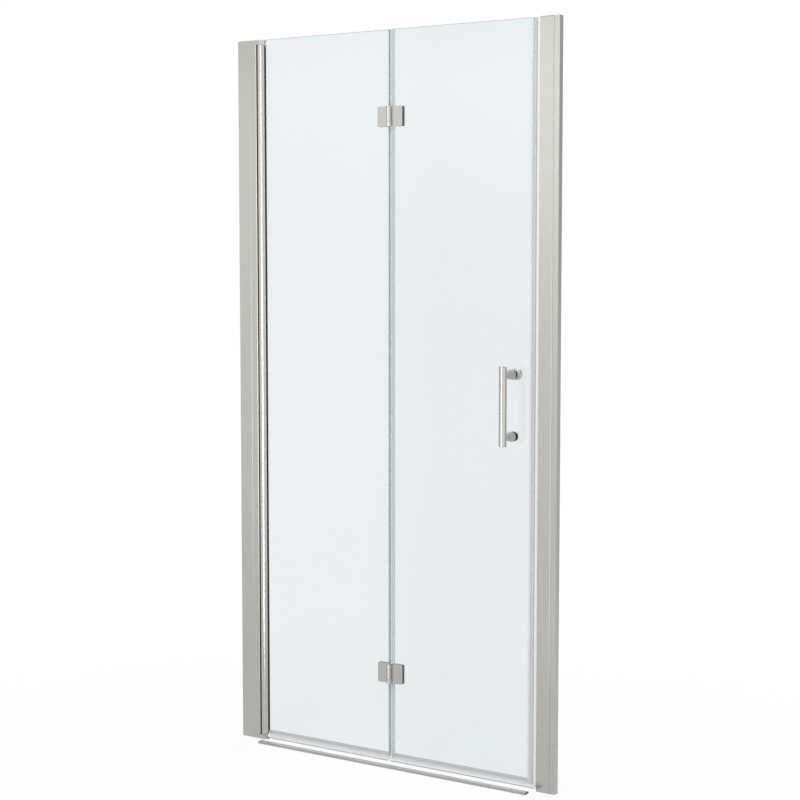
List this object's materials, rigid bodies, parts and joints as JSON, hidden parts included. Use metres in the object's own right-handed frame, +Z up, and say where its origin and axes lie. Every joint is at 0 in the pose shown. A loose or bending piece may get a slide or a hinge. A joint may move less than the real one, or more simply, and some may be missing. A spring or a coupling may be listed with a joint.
{
  "type": "bifold shower door",
  "caption": "Frameless bifold shower door between wall profiles, with a pivoting glass panel, a folding glass panel on knuckle hinges, magnetic seals and a bar handle.",
  "frame": {"origin": "on the wall face of the hinge-side channel, at tray level, in the middle plane of the glass", "axes": "+X from the hinge-side wall across the opening, +Y from the room into the shower, +Z up"},
  "size_m": [0.947, 0.0796, 1.8302],
  "materials": {
    "satin_profile": "extruded aluminium with a satin nickel coating",
    "satin_cap": "moulded plastic in the colour of the profiles",
    "satin_steel": "brushed stainless steel",
    "steel": "plain stainless steel",
    "glass": "clear toughened glass with ground edges",
    "clear_pvc": "clear soft PVC",
    "white_pvc": "white rigid PVC",
    "black_rubber": "black soft rubber",
    "magnet": "flexible magnet strip",
    "nylon": "natural nylon"
  },
  "bodies": {
    "frame": {"hinge_wall_channel": "satin_profile", "hinge_post": "satin_profile", "bottom_pivot_bracket": "satin_profile", "top_pivot_bracket": "satin_profile", "bottom_pivot_pin": "steel", "top_pivot_pin": "steel", "thrust_washers": "nylon", "bracket_screws": "steel", "pivot_gap_seal": "black_rubber", "hinge_channel_cap": "satin_cap", "hinge_post_screws": "steel", "hinge_screw_caps": "satin_cap", "strike_wall_channel": "satin_profile", "strike_post": "satin_profile", "strike_magnet_carrier": "white_pvc", "strike_magnet": "magnet", "strike_top_cap": "satin_cap", "strike_cap_screws": "steel", "strike_post_screws": "steel", "strike_screw_caps": "satin_cap", "threshold_bar": "satin_profile"},
    "wall_panel": {"pivot_profile": "satin_profile", "bottom_pivot_bush": "nylon", "top_pivot_bush": "nylon", "glazing_gasket": "black_rubber", "wall_glass": "glass", "wall_bottom_seal": "clear_pvc", "lower_wall_leaf": "satin_steel", "upper_wall_leaf": "satin_steel", "lower_wall_back_plate": "satin_steel", "upper_wall_back_plate": "satin_steel", "wall_hinge_gaskets": "black_rubber", "wall_hinge_screws": "steel", "hinge_pins": "steel"},
    "door_panel": {"door_glass": "glass", "door_bottom_seal": "clear_pvc", "centre_seal": "clear_pvc", "lower_door_leaf": "satin_steel", "upper_door_leaf": "satin_steel", "lower_door_back_plate": "satin_steel", "upper_door_back_plate": "satin_steel", "door_hinge_gaskets": "black_rubber", "door_hinge_screws": "steel", "door_edge_seal": "clear_pvc", "door_magnet": "magnet", "handle_bar": "satin_steel", "lower_handle_post": "satin_steel", "upper_handle_post": "satin_steel", "handle_bushes": "black_rubber", "handle_studs": "steel", "rear_washers": "black_rubber", "rear_knob": "satin_steel", "rear_cap": "satin_steel"}
  },
  "joints": [
    {"name": "wall_pivot", "type": "hinge", "parent": "frame", "child": "wall_panel", "pos_m": [0.068, 0, 0.9145], "axis": [0, 0, 1], "range_deg": [0, 90]},
    {"name": "panel_fold", "type": "hinge", "parent": "wall_panel", "child": "door_panel", "pos_m": [0.474, -0.0125, 0.923], "axis": [0, 0, -1], "range_deg": [0, 165]}
  ]
}
